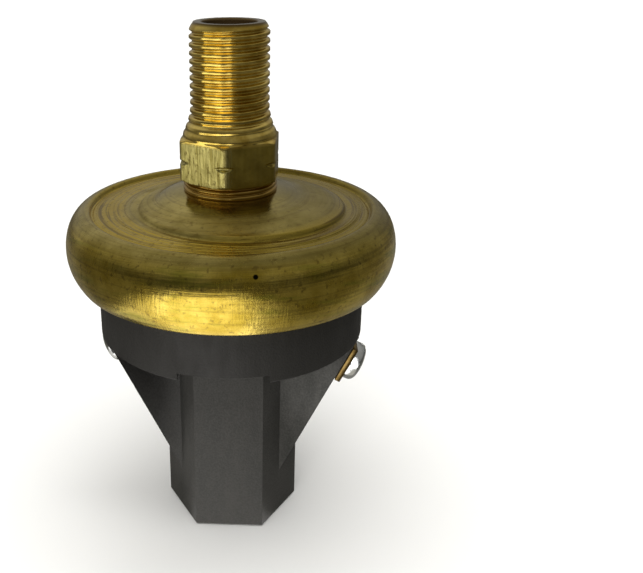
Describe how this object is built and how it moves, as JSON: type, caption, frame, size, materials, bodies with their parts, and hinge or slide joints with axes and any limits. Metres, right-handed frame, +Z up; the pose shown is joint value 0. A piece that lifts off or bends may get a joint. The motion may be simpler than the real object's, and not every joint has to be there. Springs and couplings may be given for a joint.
{
  "type": "pressure switch",
  "caption": "Diaphragm pressure switch: threaded brass port and rolled brass cap on a black moulded base with a hexagonal column and angled screw terminals.",
  "frame": {"origin": "centre of the column's lower face, the lowest point of the part", "axes": "+Z up towards the pressure port, +X through the right-hand terminal, -Y towards the front flat of the column"},
  "size_m": [0.0432, 0.0432, 0.0684],
  "materials": {
    "fitting_brass": "turned brass, lightly tarnished",
    "cap_brass": "pressed and spun brass, satin, tarnished",
    "base_plastic": "moulded, fine matte texture",
    "zinc_plated_steel": "bright zinc plate",
    "terminal_brass": "stamped, semi-bright",
    "adjuster_brass": "turned",
    "contact_silver": "satin silver alloy",
    "spring_steel": "drawn wire",
    "plain_steel": "stamped, plated",
    "seal_rubber": "moulded elastomer",
    "inner_plastic": "natural moulded"
  },
  "bodies": {
    "housing": {"base_housing": "base_plastic", "pressure_cap": "cap_brass", "port_fitting": "fitting_brass", "sealing_gasket": "seal_rubber", "diaphragm": "seal_rubber", "support_ring": "plain_steel", "guide_plate": "inner_plastic", "terminal_insert_right": "terminal_brass", "terminal_insert_left": "terminal_brass", "contact_strip_right": "terminal_brass", "contact_strip_left": "terminal_brass", "fixed_contact_right": "contact_silver", "fixed_contact_left": "contact_silver", "range_spring": "spring_steel"},
    "plunger": {"plunger": "inner_plastic", "pressure_plate": "plain_steel", "contact_bridge": "terminal_brass", "moving_contacts": "contact_silver", "contact_spring": "spring_steel", "spring_cup": "terminal_brass"},
    "spring_seat": {"spring_seat": "plain_steel"},
    "adjuster": {"adjusting_screw": "adjuster_brass"},
    "clamp_right": {"clamp_plate_right": "terminal_brass"},
    "screw_right": {"terminal_screw_right": "zinc_plated_steel"},
    "clamp_left": {"clamp_plate_left": "terminal_brass"},
    "screw_left": {"terminal_screw_left": "zinc_plated_steel"}
  },
  "joints": [
    {"name": "plunger_travel", "type": "slide", "parent": "housing", "child": "plunger", "axis": [0, 0, -1], "range_m": [0, 0.0008], "stiffness_N_per_m": 1500, "springref_m": -0.002, "deforming": ["diaphragm", "range_spring"]},
    {"name": "adjuster_travel", "type": "slide", "parent": "housing", "child": "spring_seat", "axis": [0, 0, 1], "range_m": [-0.00101, 0.00301], "deforming": ["range_spring"]},
    {"name": "adjuster_turn", "type": "hinge", "parent": "spring_seat", "child": "adjuster", "pos_m": [0, 0, 0.0058], "axis": [0, 0, 1], "range_deg": [-360, 1080]},
    {"name": "clamp_right_lift", "type": "slide", "parent": "housing", "child": "clamp_right", "axis": [0.8996, 0, -0.4368], "range_m": [0, 0.00101]},
    {"name": "screw_right_turn", "type": "hinge", "parent": "clamp_right", "child": "screw_right", "pos_m": [0.01535, -0.002, 0.02419], "axis": [0.8996, 0, -0.4368], "range_deg": [0, 720]},
    {"name": "clamp_left_lift", "type": "slide", "parent": "housing", "child": "clamp_left", "axis": [-0.8996, 0, -0.4368], "range_m": [0, 0.00101]},
    {"name": "screw_left_turn", "type": "hinge", "parent": "clamp_left", "child": "screw_left", "pos_m": [-0.01535, 0.002, 0.02419], "axis": [-0.8996, 0, -0.4368], "range_deg": [0, 720]}
  ],
  "couplings": [
    {"joint": "adjuster_travel", "follows": "adjuster_turn", "m_per_rad": 0.00015915},
    {"joint": "clamp_right_lift", "follows": "screw_right_turn", "m_per_rad": 0.000079577},
    {"joint": "clamp_left_lift", "follows": "screw_left_turn", "m_per_rad": 0.000079577}
  ]
}
